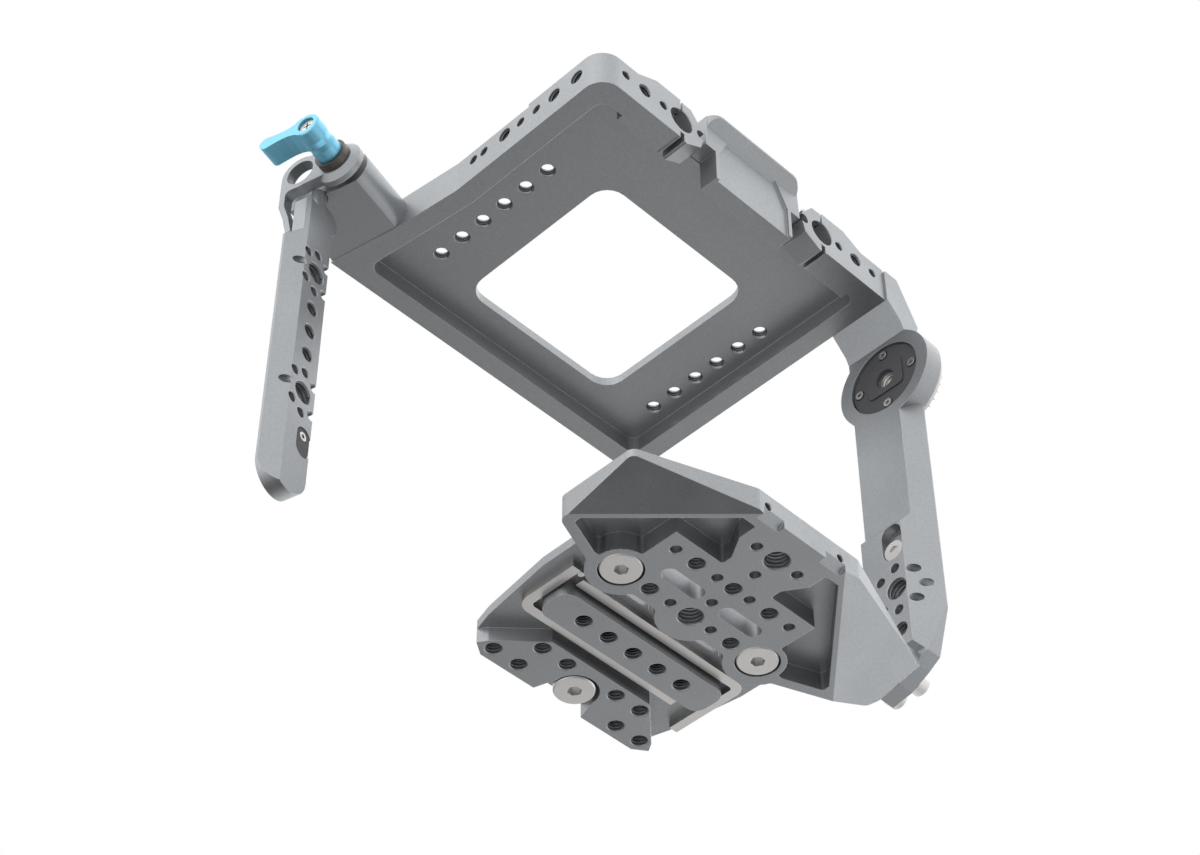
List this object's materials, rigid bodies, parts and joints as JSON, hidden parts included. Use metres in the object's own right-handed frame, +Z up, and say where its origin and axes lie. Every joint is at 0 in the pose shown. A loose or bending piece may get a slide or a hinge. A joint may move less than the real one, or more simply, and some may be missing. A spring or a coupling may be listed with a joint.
{
  "type": "camera cage",
  "caption": "Machined camera cage: base plate with threads and rails, right arm with rosette, top plate with rod clamps, and a lever clamp that holds a side arm.",
  "frame": {"origin": "mouth of the main large thread in the underside of the base plate", "axes": "+Z up, -Y to the front of the cage (lens side), +X to the right arm with the rosette"},
  "size_m": [0.2567, 0.1622, 0.227],
  "materials": {
    "anodised_grey": "matt bead-blasted grey anodising",
    "anodised_dark": "dark anodised",
    "insert_dark": "matt dark insert",
    "steel": "satin stainless steel",
    "anodised_blue": "matt light blue anodising"
  },
  "bodies": {
    "cage": {"base_plate": "anodised_grey", "centre_strip": "anodised_grey", "rail_front": "steel", "rail_rear": "steel", "rail_pin": "steel", "base_screw_left": "steel", "base_screw_right": "steel", "base_screw_rear": "steel", "right_arm": "anodised_grey", "foot_screw_front": "steel", "foot_screw_rear": "steel", "rosette_disc": "steel", "rosette_insert": "insert_dark", "rosette_bush": "steel", "rosette_screws": "steel", "top_plate": "anodised_grey", "rod_screw_left": "steel", "rod_screw_right": "steel", "nose": "anodised_grey", "clamp_block": "anodised_grey"},
    "slot_screw": {"slot_screw": "steel"},
    "jaw": {"jaw": "anodised_grey", "clamp_washer": "anodised_dark"},
    "bolt": {"clamp_bolt": "steel", "lever_screw": "steel"},
    "lever": {"lever": "anodised_blue"},
    "side_arm": {"side_arm": "anodised_grey", "side_insert": "insert_dark", "side_insert_screw": "steel"}
  },
  "joints": [
    {"name": "jaw_slide", "type": "slide", "parent": "cage", "child": "jaw", "axis": [-0.9681, -0.2504, 0], "range_m": [0, 0.001]},
    {"name": "bolt_turn", "type": "hinge", "parent": "jaw", "child": "bolt", "pos_m": [-0.13175, 0.06869, 0.2088], "axis": [-0.9681, -0.2504, 0], "range_deg": [0, 360]},
    {"name": "lever_lift", "type": "slide", "parent": "bolt", "child": "lever", "axis": [-0.9681, -0.2504, 0], "range_m": [0, 0.003], "stiffness_N_per_m": 600, "springref_m": -0.002},
    {"name": "arm_slide", "type": "slide", "parent": "cage", "child": "side_arm", "axis": [0, 0, -1], "range_m": [0, 0.02]},
    {"name": "slot_screw_slide", "type": "slide", "parent": "cage", "child": "slot_screw", "axis": [0, 0, 1], "range_m": [0, 0.008]}
  ],
  "couplings": [
    {"joint": "bolt_turn", "follows": "jaw_slide", "rad_per_m": 6283.2}
  ]
}
